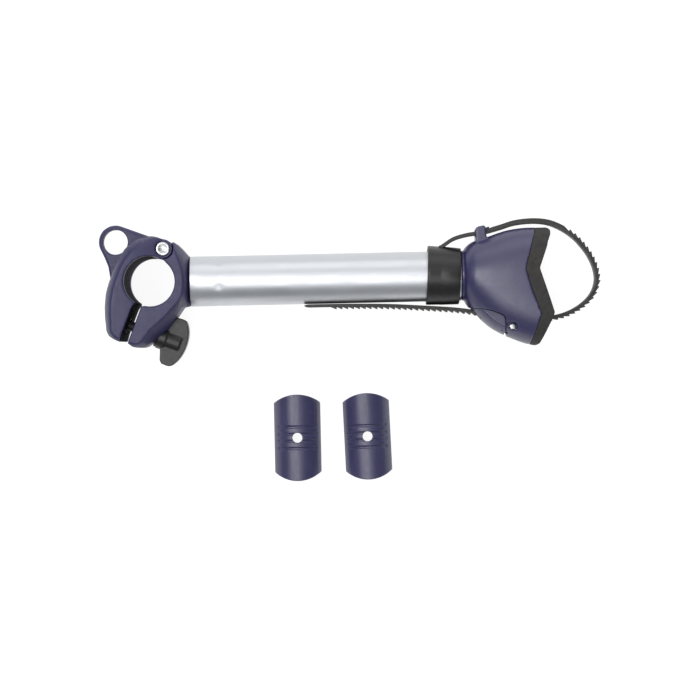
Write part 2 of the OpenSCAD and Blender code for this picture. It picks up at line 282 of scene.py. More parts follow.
def mould(obj: bpy.types.Object, voxel: float, passes: int) -> bpy.types.Object:
    """Rounds every edge as a mould does, by a fine remesh and some smoothing.

    Args:
        obj: closed solid.
        voxel: size of the remesh in millimetres.
        passes: smoothing passes, each of which widens the rounding.

    Returns:
        The object, shaded smooth.
    """
    remesh = obj.modifiers.new("remesh", "REMESH")
    remesh.mode = "VOXEL"
    remesh.voxel_size = voxel * MM
    remesh.use_smooth_shade = True
    smooth = obj.modifiers.new("smooth", "SMOOTH")
    smooth.factor = 0.5
    smooth.iterations = passes
    evaluated(obj)
    keep_largest(obj)
    shade_smooth(obj)
    return obj


def keep_largest(obj: bpy.types.Object) -> None:
    """Deletes the crumbs that a remesh leaves beside the main shell.

    Args:
        obj: a mesh of one large shell, and perhaps some small ones.
    """
    work = bmesh.new()
    work.from_mesh(obj.data)
    left = set(work.verts)
    shells = []
    while left:
        shell, edge = set(), {left.pop()}
        while edge:
            shell |= edge
            edge = {e.other_vert(v) for v in edge for e in v.link_edges} - shell
        left -= shell
        shells.append(shell)
    largest = max(shells, key=len)
    crumbs = [v for shell in shells if shell is not largest for v in shell]
    bmesh.ops.delete(work, geom=crumbs, context="VERTS")
    work.to_mesh(obj.data)
    work.free()


@dataclass(frozen=True)
class RollOff:
    """How a moulded face falls away towards a line on its border.

    Each row of line is x, y, the width of the slope in millimetres, and the
    share of the height that is left on the line. Heights between above and
    below are lowered, but not round spare, where a screw head sits.
    """

    line: tuple[tuple[float, float, float, float], ...]
    fullness: float = 2.0
    above: float = 0.0
    below: float = 100.0
    spare: Point | None = None
    spare_r: float = 6.5
    spare_fade: float = 5.0

    def apply(self, obj: bpy.types.Object) -> None:
        """Lowers the faces of a fine mesh towards the mid plane.

        Args:
            obj: a mesh whose mid plane is z = 0.
        """
        flat = np.empty(len(obj.data.vertices) * 3)
        obj.data.vertices.foreach_get("co", flat)
        points = flat.reshape(-1, 3) / MM
        rows = np.array(self.line)
        share = np.ones(len(points))
        nearest = np.full(len(points), np.inf)
        for a, b in zip(rows[:-1], rows[1:]):
            span = b[:2] - a[:2]
            along = np.clip((points[:, :2] - a[:2]) @ span / (span @ span), 0, 1)
            gap = np.linalg.norm(points[:, :2] - a[:2] - along[:, None] * span, axis=1)
            gap = gap / (a[2] + along * (b[2] - a[2]))
            low = a[3] + along * (b[3] - a[3])
            rise = 1 - (1 - np.clip(gap, 0, 1)) ** self.fullness
            closer = gap < nearest
            share[closer] = (low + (1 - low) * rise ** (1 / self.fullness))[closer]
            nearest[closer] = gap[closer]
        if self.spare is not None:
            away = np.linalg.norm(points[:, :2] - np.array(self.spare), axis=1)
            fade = np.clip((away - self.spare_r) / self.spare_fade, 0, 1)
            share = 1 + (share - 1) * fade * fade * (3 - 2 * fade)
        height = np.abs(points[:, 2])
        moved = (height > self.above) & (height <= self.below)
        lowered = self.above + (height - self.above) * share
        points[moved, 2] = (np.sign(points[:, 2]) * lowered)[moved]
        obj.data.vertices.foreach_set("co", (points * MM).ravel())
        obj.data.update()


def shade_smooth(obj: bpy.types.Object) -> None:
    """Shades every face of a mesh smooth."""
    obj.data.polygons.foreach_set("use_smooth", [True] * len(obj.data.polygons))


def shade_by_angle(obj: bpy.types.Object, degrees: float) -> None:
    """Shades a mesh smooth but keeps edges sharper than an angle."""
    shade_smooth(obj)
    obj.data.set_sharp_from_angle(angle=math.radians(degrees))


def bevel_edges(obj: bpy.types.Object, width: float, segments: int, angle: float) -> None:
    """Bevels an object's sharp edges and evens out its shading.

    Args:
        obj: the object.
        width: width of the bevel in millimetres.
        segments: steps across it.
        angle: smallest turn, in degrees, that counts as an edge.
    """
    bevel = obj.modifiers.new("bevel", "BEVEL")
    bevel.width = width * MM
    bevel.segments = segments
    bevel.limit_method = "ANGLE"
    bevel.angle_limit = math.radians(angle)
    evaluated(obj)
    shade_smooth(obj)


def cad_copy(name: str, node: str) -> bpy.types.Object:
    """Merged copy of a CAD node's mesh, to be worked on.

    Args:
        name: name of the copy.
        node: the CAD node.

    Returns:
        The copy, at the origin.
    """
    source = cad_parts[node]
    mesh = source.data.copy()
    mesh.name = name
    work = bmesh.new()
    work.from_mesh(mesh)
    bmesh.ops.remove_doubles(work, verts=work.verts, dist=2e-6)
    work.to_mesh(mesh)
    work.free()
    obj = bpy.data.objects.new(name, mesh)
    bpy.context.scene.collection.objects.link(obj)
    return obj


# ---- geometry nodes -----------------------------------------------------


class NodeSolid:
    """A Geometry Nodes tree with named inputs, ending in one solid's material."""

    def __init__(self, name: str, inputs: Mapping[str, tuple[str, Any]]) -> None:
        """Makes the tree and its sockets.

        Args:
            name: name of the tree.
            inputs: socket name to its type and its starting value.
        """
        self.tree = bpy.data.node_groups.new(name, "GeometryNodeTree")
        face = self.tree.interface
        face.new_socket("Geometry", in_out="INPUT", socket_type="NodeSocketGeometry")
        self.sockets: dict[str, str] = {}
        for key, (kind, value) in inputs.items():
            socket = face.new_socket(key, in_out="INPUT", socket_type=kind)
            if value is not None:
                socket.default_value = value
            self.sockets[key] = socket.identifier
        face.new_socket("Geometry", in_out="OUTPUT", socket_type="NodeSocketGeometry")
        self.given = add_node(self.tree, "NodeGroupInput").outputs

    def finish(self, geometry: bpy.types.NodeSocket) -> None:
        """Realizes the instances, sets the material and ends the tree.

        Args:
            geometry: the socket that carries the solid.
        """
        real = add_node(self.tree, "GeometryNodeRealizeInstances", None, {0: geometry})
        dressed = add_node(
            self.tree,
            "GeometryNodeSetMaterial",
            None,
            {"Geometry": real.outputs[0], "Material": self.given["Finish"]},
        )
        add_node(self.tree, "NodeGroupOutput", None, {0: dressed.outputs[0]})

    def run(self, obj: bpy.types.Object, values: Mapping[str, Any]) -> bpy.types.Object:
        """Runs the tree on an object and keeps the plain mesh.

        Args:
            obj: object that the tree starts from.
            values: input name to value.

        Returns:
            The object with the result as its mesh.
        """
        modifier = obj.modifiers.new(self.tree.name, "NODES")
        modifier.node_group = self.tree
        for key, value in values.items():
            modifier[self.sockets[key]] = value
        return evaluated(obj)


def tooth_rows(finish: bpy.types.Material) -> NodeSolid:
    """Tree that sets teeth along a strap's route and joins them to its web.

    Args:
        finish: material of the strap.

    Returns:
        The tree: route, tooth, first, last and count are its inputs.
    """
    rows = NodeSolid(
        "tooth_rows",
        {
            "Route": ("NodeSocketObject", None),
            "Tooth": ("NodeSocketObject", None),
            "First": ("NodeSocketFloat", 0.1),
            "Last": ("NodeSocketFloat", 0.2),
            "Count": ("NodeSocketInt", 10),
            "Finish": ("NodeSocketMaterial", finish),
        },
    )
    tree, given = rows.tree, rows.given
    route = add_node(tree, "GeometryNodeObjectInfo", None, {"Object": given["Route"]})
    tooth = add_node(tree, "GeometryNodeObjectInfo", None, {"Object": given["Tooth"]})
    trimmed = add_node(
        tree,
        "GeometryNodeTrimCurve",
        {"mode": "LENGTH"},
        {0: route.outputs["Geometry"], 4: given["First"], 5: given["Last"]},
    )
    points = add_node(
        tree,
        "GeometryNodeCurveToPoints",
        {"mode": "COUNT"},
        {"Curve": trimmed.outputs[0], "Count": given["Count"]},
    )
    turn = add_node(
        tree, "FunctionNodeAlignEulerToVector", {"axis": "X"}, {"Vector": points.outputs["Tangent"]}
    )
    placed = add_node(
        tree,
        "GeometryNodeInstanceOnPoints",
        None,
        {
            "Points": points.outputs[0],
            "Instance": tooth.outputs["Geometry"],
            "Rotation": turn.outputs[0],
        },
    )
    joined = add_node(tree, "GeometryNodeJoinGeometry", None, {0: placed.outputs[0]})
    tree.links.new(given["Geometry"], joined.inputs[0])
    rows.finish(joined.outputs[0])
    return rows


def coil_tree(finish: bpy.types.Material) -> NodeSolid:
    """Tree that winds a torsion spring's coil about Z.

    Args:
        finish: material of the wire.

    Returns:
        The tree: turns, radius, height and wire are its inputs.
    """
    coil = NodeSolid(
        "coil",
        {
            "Turns": ("NodeSocketFloat", 6.0),
            "Radius": ("NodeSocketFloat", 0.0023),
            "Height": ("NodeSocketFloat", 0.005),
            "Wire": ("NodeSocketFloat", 0.00035),
            "Finish": ("NodeSocketMaterial", finish),
        },
    )
    tree, given = coil.tree, coil.given
    helix = add_node(
        tree,
        "GeometryNodeCurveSpiral",
        None,
        {
            "Resolution": 32,
            "Rotations": given["Turns"],
            "Start Radius": given["Radius"],
            "End Radius": given["Radius"],
            "Height": given["Height"],
        },
    )
    circle = {"Resolution": 10, "Radius": given["Wire"]}
    wire = add_node(tree, "GeometryNodeCurvePrimitiveCircle", None, circle)
    sweep = {"Curve": helix.outputs[0], "Profile Curve": wire.outputs[0], "Fill Caps": True}
    solid = add_node(tree, "GeometryNodeCurveToMesh", None, sweep)
    coil.finish(solid.outputs[0])
    return coil


# ---- finishes -----------------------------------------------------------


@dataclass(frozen=True)
class Grain:
    """Irregular pattern on object coordinates, with grains of one real size.

    size is a grain's width in millimetres, detail the number of finer layers on
    it, and stretch how many times it is compressed along each axis.
    """

    size: float
    detail: float = 2.0
    stretch: tuple[float, float, float] = (1.0, 1.0, 1.0)

    def lay(self, tree: bpy.types.NodeTree, low: float, high: float) -> bpy.types.NodeSocket:
        """Lays the pattern over a material.

        Args:
            tree: the material's tree.
            low: value in the pattern's hollows.
            high: value on its peaks.

        Returns:
            The socket that carries the pattern.
        """
        place = add_node(tree, "ShaderNodeTexCoord").outputs["Object"]
        squeeze = {"Vector": place, "Scale": self.stretch}
        mapped = add_node(tree, "ShaderNodeMapping", None, squeeze).outputs[0]
        sizes = {"Vector": mapped, "Scale": 1 / (self.size * MM), "Detail": self.detail}
        value = add_node(tree, "ShaderNodeTexNoise", None, sizes).outputs[0]
        ends = {"Value": value, "From Min": 0.3, "From Max": 0.7, "To Min": low, "To Max": high}
        return add_node(tree, "ShaderNodeMapRange", None, ends).outputs[0]


# what a Mix node is set to when it blends two colours
BLEND = {"data_type": "RGBA"}


@dataclass
class Surface:
    """A material with one shader, as it is being built."""

    name: str
    material: bpy.types.Material = field(init=False)
    tree: bpy.types.NodeTree = field(init=False)
    shader: bpy.types.Node = field(init=False)

    def __post_init__(self) -> None:
        """Makes the material, with a shader that feeds its output."""
        self.material = bpy.data.materials.new(self.name)
        self.material.use_nodes = True
        self.tree = self.material.node_tree
        self.tree.nodes.clear()
        self.shader = add_node(self.tree, "ShaderNodeBsdfPrincipled")
        add_node(self.tree, "ShaderNodeOutputMaterial", None, {0: self.shader.outputs[0]})

    def coat(
        self,
        colour: bpy.types.NodeSocket,
        rough: bpy.types.NodeSocket,
        height: bpy.types.NodeSocket | None = None,
        depth: float = 0.0,
        strength: float = 0.0,
    ) -> bpy.types.Material:
        """Feeds the shader with what varies over the surface.

        Args:
            colour: base colour.
            rough: roughness.
            height: pattern that is raised on the surface, if there is one.
            depth: its depth in millimetres.
            strength: share of the depth that shows.

        Returns:
            The finished material.
        """
        fed = {"Base Color": colour, "Roughness": rough}
        if height is not None:
            raised = {"Strength": strength, "Distance": depth * MM, "Height": height}
            fed["Normal"] = add_node(self.tree, "ShaderNodeBump", None, raised).outputs[0]
        for name, socket in fed.items():
            self.tree.links.new(socket, self.shader.inputs[name])
        return self.material


@dataclass(frozen=True)
class MouldedPlastic:
    """Injection-moulded plastic from a spark-eroded tool.

    The tool leaves pits of about 0.1 mm, drawn at 0.35 mm so that they show. The
    eye reads satin: a wide soft highlight, a colour that is faintly clouded by
    the flow of the melt, and paler edges where hands have rubbed them. On the
    clamp the paler edges are partly a painted highlight.
    """

    name: str
    colour: str
    cloud: str
    worn_and_lit_edge: str
    roughness: float
    pits: float = 0.35
    depth: float = 0.02
    specular: float = 0.5

    def material(self) -> bpy.types.Material:
        """Builds the material.

        Returns:
            The material.
        """
        skin = Surface(self.name)
        tree = skin.tree
        flow = Grain(9.0, 3.0).lay(tree, 0.0, 1.0)
        clouded = {0: flow, 6: linear(self.colour), 7: linear(self.cloud)}
        body = add_node(tree, "ShaderNodeMix", BLEND, clouded).outputs[2]
        # pointiness is 0.5 on a flat face and grows towards a sharp edge
        edge = add_node(tree, "ShaderNodeNewGeometry").outputs["Pointiness"]
        # paler edges: wear, and for the clamp's nylon also a painted highlight
        limits = {"Value": edge, "From Min": 0.52, "From Max": 0.60, "To Min": 0.0, "To Max": 0.35}
        rubbed = add_node(tree, "ShaderNodeMapRange", None, limits).outputs[0]
        handled = {0: rubbed, 6: body, 7: linear(self.worn_and_lit_edge)}
        colour = add_node(tree, "ShaderNodeMix", BLEND, handled).outputs[2]
        rough = Grain(2.5, 4.0).lay(tree, self.roughness - 0.04, self.roughness + 0.05)
        pits = Grain(self.pits, 3.0).lay(tree, 0.3, 0.7)
        skin.shader.inputs["IOR"].default_value = 1.53
        skin.shader.inputs["Specular IOR Level"].default_value = self.specular
        return skin.coat(colour, rough, pits, self.depth, 0.35)


@dataclass(frozen=True)
class MouldedRubber:
    """Moulded natural rubber, which blooms.

    Its skin is a fine gravel of 0.2 mm grains, drawn at 0.6 mm so that they show.
    The eye reads a dry, soft surface: almost no highlight, grey with a dusting of
    wax that has come to the surface in clouds a few millimetres across.
    """

    name: str
    colour: str
    bloom: str
    roughness: float = 0.78
    gravel: float = 0.6
    specular: float = 0.35

    def material(self) -> bpy.types.Material:
        """Builds the material.

        Returns:
            The material.
        """
        skin = Surface(self.name)
        tree = skin.tree
        gravel = Grain(self.gravel, 4.0)
        bloom = linear(self.bloom)
        dust = {0: Grain(3.0, 5.0).lay(tree, 0.0, 0.8), 6: linear(self.colour), 7: bloom}
        body = add_node(tree, "ShaderNodeMix", BLEND, dust).outputs[2]
        speckle = {0: gravel.lay(tree, 0.0, 0.35), 6: body, 7: bloom}
        colour = add_node(tree, "ShaderNodeMix", BLEND, speckle).outputs[2]
        rough = gravel.lay(tree, self.roughness - 0.08, self.roughness + 0.08)
        skin.shader.inputs["IOR"].default_value = 1.52
        skin.shader.inputs["Specular IOR Level"].default_value = self.specular
        return skin.coat(colour, rough, gravel.lay(tree, 0.3, 0.7), 0.06, 0.6)


@dataclass(frozen=True)
class AnodisedAluminium:
    """Drawn aluminium tube, etched and clear anodised.

    The draw marks run along X, about 0.05 mm apart, and are drawn at 0.25 mm so
    that they show. The eye reads a satin metal whose highlights smear round the
    tube, in a few long streaks.
    """

    name: str
    colour: str
    shade: str
    roughness: float

    def material(self) -> bpy.types.Material:
        """Builds the material.

        Returns:
            The material.
        """
        skin = Surface(self.name)
        tree = skin.tree
        marks = Grain(0.25, 3.0, (0.01, 1.0, 1.0))
        drawn = {0: marks.lay(tree, 0.1, 0.6), 6: linear(self.colour), 7: linear(self.shade)}
        colour = add_node(tree, "ShaderNodeMix", BLEND, drawn).outputs[2]
        rough = Grain(14.0).lay(tree, self.roughness - 0.03, self.roughness + 0.04)
        skin.shader.inputs["Metallic"].default_value = 1.0
        return skin.coat(colour, rough, marks.lay(tree, 0.3, 0.7), 0.01, 0.12)


@dataclass(frozen=True)
class TurnedMetal:
    """Turned metal part, plain or plated.

    The plating is dull in spots of about 1 mm, and the tool marks, 0.1 mm apart,
    are drawn at 0.3 mm. The eye reads a small bright part that isn't a mirror:
    its highlight breaks up a little and it looks handled.
    """

    name: str
    colour: str
    shade: str
    roughness: float

    def material(self) -> bpy.types.Material:
        """Builds the material.

        Returns:
            The material.
        """
        skin = Surface(self.name)
        tree = skin.tree
        spots = Grain(1.2, 4.0).lay(tree, 0.0, 1.0)
        plated = {0: spots, 6: linear(self.colour), 7: linear(self.shade)}
        colour = add_node(tree, "ShaderNodeMix", BLEND, plated).outputs[2]
        rough = Grain(0.3).lay(tree, self.roughness - 0.06, self.roughness + 0.1)
        skin.shader.inputs["Metallic"].default_value = 1.0
        return skin.coat(colour, rough)


# Glass-filled nylon: dark navy, satin, stiff looking.
NAVY = MouldedPlastic(
    "moulded_nylon_navy", "282552", "24214c", "46446a", 0.38, specular=0.85
)
# The same nylon from a blasted tool, on the clamp: duller, so its flats stay dark.
# Its pale edge colour is partly wear and partly a painted highlight on the edges.
NAVY_MATT = MouldedPlastic(
    "blasted_nylon_navy", "282550", "24214a", "6a6888", 0.47, specular=0.5
)
# The same nylon, darkened on the faces that meet at the split as painted shade, and
# coarse: it swallows the light, so the split looks like a dark line.
NAVY_SPLIT_SHADE = MouldedPlastic(
    "eroded_nylon_navy", "121122", "0f0e1d", "16152a", 0.85, 0.5, specular=0.05
)
# Black nylon: a little shinier than the navy one, with grey rubbed edges.
BLACK = MouldedPlastic(
    "moulded_nylon_black", "161515", "121111", "2c2b2a", 0.36, specular=0.45
)
# Soft urethane: a warmer, duller black that looks as if it bends.
STRAP = MouldedPlastic("moulded_urethane_black", "2a2826", "22201f", "44413e", 0.5, 0.5)
RUBBER = MouldedRubber("moulded_rubber_grey", "2a2929", "3d3b39")
# Dark rubber for the bore's sleeve, without bloom: its dark colour is painted shade,
# which keeps the bore darker than the clamp round it.
LINING = MouldedRubber("moulded_rubber_black", "2a2932", "3a3944", 0.8, specular=0.2)
TUBE = AnodisedAluminium("anodised_aluminium", "cbcdd0", "c0c3c7", 0.41)
# Zinc plate: light grey and a little blue.
STEEL = TurnedMetal("zinc_plated_steel", "c4c5c6", "a3a4a6", 0.3)
# Black oxide: keeps steel out of sight between the knob and the clamp.
BLACKED = TurnedMetal("blackened_steel", "3f3f40", "2d2d2e", 0.4)
# Brass, darkened to brown as painted shade, so that it stays unseen deep in the split.
BRASS = TurnedMetal("turned_brass", "6f5c38", "57482c", 0.4)
# Unfilled nylon: milky, slightly waxy.
NYLON = MouldedPlastic("natural_nylon", "dcd8cc", "d2cec2", "e6e2d8", 0.45)


def dress(obj: bpy.types.Object, material: bpy.types.Material) -> None:
    """Gives an object one material."""
    obj.data.materials.clear()
    obj.data.materials.append(material)
    obj.data.polygons.foreach_set("material_index", [0] * len(obj.data.polygons))


def settle(obj: bpy.types.Object, body: str, slot: str, *nodes: str) -> None:
    """Ties a finished piece to its body, and hides the nodes it stands for.

    Args:
        obj: the piece.
        body: CAD body that it rides on.
        slot: the record's material slot; not used.
        nodes: CAD nodes that it replaces.
    """
    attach(obj, body)
    if nodes:
        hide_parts(*nodes)
    LOG.info("%s: %d faces on %s", obj.name, len(obj.data.polygons), body)


class Finishes:
    """The materials, each built once."""

    def __init__(self) -> None:
        """Builds every material."""
        self.navy = NAVY.material()
        self.navy_matt = NAVY_MATT.material()
        # painted shade for the faces at the split
        self.navy_split_shade = NAVY_SPLIT_SHADE.material()
        self.black = BLACK.material()
        self.strap = STRAP.material()
        self.rubber = RUBBER.material()
        self.lining = LINING.material()
        self.tube = TUBE.material()
        self.steel = STEEL.material()
        self.blacked = BLACKED.material()
        self.brass = BRASS.material()
        self.nylon = NYLON.material()


# ---- clamp --------------------------------------------------------------


@dataclass
class Clamp:
    """Hinged clamp with its bore linings, hinge screw and wing knob."""

    finishes: Finishes
    hinge: Point = (8.4, 19.15)
    split_angle: float = 21.7
    ear_gap: float = 4.7
    bore_r: float = 15.0
    screw_r: float = 2.48
    screw_head_r: float = 4.15
    screw_top: float = 20.6
    head_low: float = 16.4
    # radius of the hex socket's corners, turn of the first in degrees, and depth
    socket_r: float = 2.31
    socket_turn: float = 12
    socket_depth: float = 2.8
    lining_r: float = 14.93
    lining_half: float = 19.0
    lining_slope: float = 0.6
    # where the lining ends at the split, and how far it stays off the hinge, in degrees
    lining_ends: Point = (-104.0, 237.0)
    lining_off_hinge: float = 17.0
    rib_height: float = 0.25
    rib_foot_half: float = 1.8
    rib_crest_half: float = 1.4
    rib_count: int = 4
    rib_pitch: float = 9.5
    base_slopes: tuple[RollOff, ...] = (
        RollOff(
            (
                (13.9, 23.3, 2.6, 0.86), (18.2, 19.9, 3.0, 0.84), (23.0, 15.0, 3.2, 0.8),
                (23.4, 0.0, 2.4, 0.8), (23.4, -6.0, 3.0, 0.72), (22.6, -11.0, 4.0, 0.58),
                (20.6, -15.4, 5.0, 0.46), (17.2, -20.0, 5.8, 0.38), (13.2, -25.0, 6.3, 0.34),
                (9.0, -29.0, 6.5, 0.34), (4.0, -32.8, 6.2, 0.36),
                (-2.4, -37.9, 4.2, 0.5), (-6.6, -39.2, 2.6, 0.7), (-10.8, -38.6, 2.0, 0.86),
                (-13.7, -36.4, 1.5, 0.92),
            ),
            1.25,
            spare=(8.4, 19.15),
        ),
    )
    jaw_slopes: tuple[RollOff, ...] = (
        RollOff(
            (
                (8.4, 24.85, 5.0, 0.62), (1.0, 27.1, 5.5, 0.55), (-7.0, 25.2, 6.0, 0.5),
                (-13.0, 21.4, 6.0, 0.5), (-17.0, 16.0, 5.5, 0.5), (-20.2, 10.0, 5.0, 0.55),
                (-23.2, 4.0, 5.4, 0.36), (-26.0, -3.0, 5.6, 0.22), (-27.5, -10.0, 5.6, 0.15),
                (-27.9, -18.0, 5.4, 0.14), (-27.4, -25.0, 5.0, 0.18), (-26.2, -30.2, 3.8, 0.34),
                (-22.6, -33.4, 2.6, 0.72), (-17.8, -35.6, 1.8, 0.88),
            ),
            1.7,
            above=5.2,
            spare=(8.4, 19.15),
        ),
        RollOff(
            (
                (0.0, 27.2, 2.2, 0.5), (-17.9, 34.0, 2.4, 0.45), (-22.0, 34.6, 2.6, 0.42),
                (-26.5, 33.2, 2.6, 0.42), (-30.2, 29.3, 2.6, 0.42), (-31.4, 24.5, 2.6, 0.42),
                (-30.6, 20.6, 2.4, 0.45), (-28.4, 16.0, 2.2, 0.5), (-26.0, 10.0, 2.0, 0.55),
                (-24.6, 1.0, 1.6, 0.7),
            ),
            2.0,
            below=5.0,
        ),
    )
    # voxel in millimetres and smoothing passes, before and after the slopes
    first_rounding: tuple[float, int] = (0.5, 2)
    last_rounding: tuple[float, int] = (0.48, 5)
    knob_rounding: tuple[float, int] = (0.3, 10)

    def build(self) -> None:
        """Builds every piece of the clamp."""
        self.jaws()
        self.linings()
        self.screw()
        self.knob()
        dress(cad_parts["hinge_nut"], self.finishes.steel)
        for node in ("knob_washer", "knob_stud"):
            dress(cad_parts[node], self.finishes.blacked)
        dress(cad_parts["jaw_insert"], self.finishes.brass)

    def jaws(self) -> None:
        """Rounds both halves of the clamp as moulded pieces."""
        halves = {"clamp_base": ("arm", self.base_slopes), "clamp_jaw": ("jaw", self.jaw_slopes)}
        for node, (body, slopes) in halves.items():
            piece = mould(cad_copy(node + "_moulded", node), *self.first_rounding)
            for slope in slopes:
                slope.apply(piece)
            mould(piece, *self.last_rounding)
            dress(piece, self.finishes.navy_matt)
            # the faces at the split get a dark material: painted shade
            self.shade_split(piece)
            settle(piece, body, "navy_plastic", node)

    def shade_split(self, piece: bpy.types.Object) -> None:
        """Gives the faces that meet at the split a dark, coarse skin: painted shade in the split.

        Args:
            piece: a half of the clamp.
        """
        piece.data.materials.append(self.finishes.navy_split_shade)
        lean = math.radians(self.split_angle)
        across = Vector((math.cos(lean), -math.sin(lean), 0))
        hinge = Vector((*self.hinge, 0))
        half = self.ear_gap / 2
        margin, facing = 0.35, 0.6
        for face in piece.data.polygons:
            off = (face.center / MM - hinge).dot(across) + half
            if abs(off) < half + margin and abs(face.normal.dot(across)) > facing:
                face.material_index = 1

    def linings(self) -> None:
        """Lines the bore with a thin ridged sleeve in two arcs, whose dark rubber is painted shade
        in the bore.
        """
        hinge_turn = math.degrees(math.atan2(self.hinge[1], self.hinge[0]))
        first, last = self.lining_ends
        spans = {
            "base_lining": ("arm", first, hinge_turn - self.lining_off_hinge),
            "jaw_lining": ("jaw", hinge_turn + self.lining_off_hinge, last),
        }
        half, skin, sunk = self.lining_half, self.lining_r, self.bore_r + 0.1
        foot, flat, crest = self.rib_foot_half, self.rib_crest_half, skin - self.rib_height
        section = [(-half, sunk), (self.lining_slope - half, skin)]
        for k in range(self.rib_count):
            middle = (k - (self.rib_count - 1) / 2) * self.rib_pitch
            section += [
                (middle - foot, skin), (middle - flat, crest),
                (middle + flat, crest), (middle + foot, skin),
            ]
        section += [(half - self.lining_slope, skin), (half, sunk)]
        section += [(half, self.bore_r + 0.3), (-half, self.bore_r + 0.3)]
        for name, (body, start, end) in spans.items():
            turns = np.radians(np.linspace(start, end, 97))
            verts = [(r * math.cos(t), r * math.sin(t), z) for t in turns for z, r in section]
            lining = mesh_object(name, verts, grid_faces(len(turns), len(section)))
            shade_by_angle(lining, degrees=50)
            # the sleeve's dark rubber is painted shade in the bore
            dress(lining, self.finishes.lining)
            settle(lining, body, "pad_rubber")

    def screw(self) -> None:
        """Turns the hinge's socket head screw, with its rim and its hex socket."""
        r, top, low = self.screw_head_r, self.screw_top, self.head_low
        profile = [
            (-19.7, 0.01), (-19.7, 2.1), (-19.3, self.screw_r), (low, self.screw_r), (low, r - 0.3),
            (low + 0.3, r), (top - 0.5, r), (top - 0.15, r - 0.15), (top, r - 0.5),
            (top, 2.75), (top - 0.35, 2.4), (top - 0.35, 0.01),
        ]
        screw = lathe("hinge_screw_turned", profile, 64)
        corners = arc((0.0, 0.0), self.socket_r, self.socket_turn, self.socket_turn + 360, 6)[:-1]
        screw.data.transform(Matrix.Rotation(-math.pi / 2, 4, "Y"))
        carve(screw, Cut.AWAY, prism("hex", corners, top - self.socket_depth, top + 1))
        screw.data.transform(Matrix.Translation((self.hinge[0] * MM, self.hinge[1] * MM, 0)))
        bevel_edges(screw, width=0.08, segments=2, angle=40)
        dress(screw, self.finishes.steel)
        settle(screw, "jaw", "steel", "hinge_screw")

    def knob(self) -> None:
        """Rounds the wing knob as a moulded piece."""
        knob = mould(cad_copy("wing_knob_moulded", "wing_knob"), *self.knob_rounding)
        dress(knob, self.finishes.black)
        settle(knob, "knob", "black_plastic", "wing_knob")


# ---- tube ---------------------------------------------------------------


@dataclass
class Tube:
    """Anodised tube, crimped with six dimples, and what turns in its end."""

    finishes: Finishes
    start: float = 23.2
    end: float = 185.2
    outer_r: float = 15.0
    wall: float = 1.5
    crimp_at: float = 40.6
    waist_depth: float = 0.07
    waist_half: float = 2.6
    dimples: int = 6
    dimple_depth: float = 0.34
    dimple_r: float = 3.4
    dimple_steepness: float = 1.8
    dimple_turn: float = math.radians(14)
    # the rings stand close together this far either side of the crimp
    fine_half: float = 11
    segments: int = 240

    def radius_at(self, x: float, turn: float) -> float:
        """Outer radius at a place on the tube.

        Args:
            x: place along the tube.
            turn: turn round it in radians.

        Returns:
            The radius in millimetres.
        """
        off = x - self.crimp_at
        waist = self.waist_depth * math.exp(-((off / self.waist_half) ** 2))
        step = 2 * math.pi / self.dimples
        side = (turn - self.dimple_turn + step / 2) % step - step / 2
        away = math.hypot(off, side * self.outer_r)
        fall = (away / self.dimple_r) ** 2 * self.dimple_steepness
        pit = self.dimple_depth * math.exp(-fall)
        return self.outer_r - waist - pit

    def build(self) -> None:
        """Builds the tube and dresses the pieces inside it."""
        first, last = self.crimp_at - self.fine_half, self.crimp_at + self.fine_half
        fine = np.linspace(first, last, 67)
        plain = np.linspace(last, self.end - 0.5, 12)[1:]
        stations = [self.start + 0.5, *fine, *plain]
        turns = np.linspace(0, 2 * math.pi, self.segments, endpoint=False)
        inner = self.outer_r - self.wall
        rings: list[list[tuple[float, float, float]]] = []

        def ring(x: float, radii: Sequence[float]) -> None:
            """Adds a ring of vertices; turn 0 faces +Z."""
            rings.append([(x, -r * math.sin(t), r * math.cos(t)) for r, t in zip(radii, turns)])

        ring(self.start, [self.outer_r - 0.4] * self.segments)
        ring(self.start + 0.15, [self.outer_r - 0.12] * self.segments)
        for x in stations:
            ring(x, [self.radius_at(x, t) for t in turns])
        ring(self.end - 0.15, [self.outer_r - 0.12] * self.segments)
        ring(self.end, [self.outer_r - 0.4] * self.segments)
        ring(self.end, [inner + 0.2] * self.segments)
        ring(self.end - 0.2, [inner] * self.segments)
        ring(self.start + 0.2, [inner] * self.segments)
        ring(self.start, [inner + 0.2] * self.segments)
        faces = grid_faces(len(rings), self.segments, True)
        tube = mesh_object("arm_tube_drawn", [v for row in rings for v in row], faces)
        shade_smooth(tube)
        dress(tube, self.finishes.tube)
        settle(tube, "arm", "anodised_tube", "arm_tube")
        for node in ("swivel_bolt", "swivel_washer", "swivel_nut"):
            dress(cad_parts[node], self.finishes.steel)
        dress(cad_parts["tube_plug"], self.finishes.black)
        dress(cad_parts["friction_washer"], self.finishes.nylon)


# ---- strap --------------------------------------------------------------


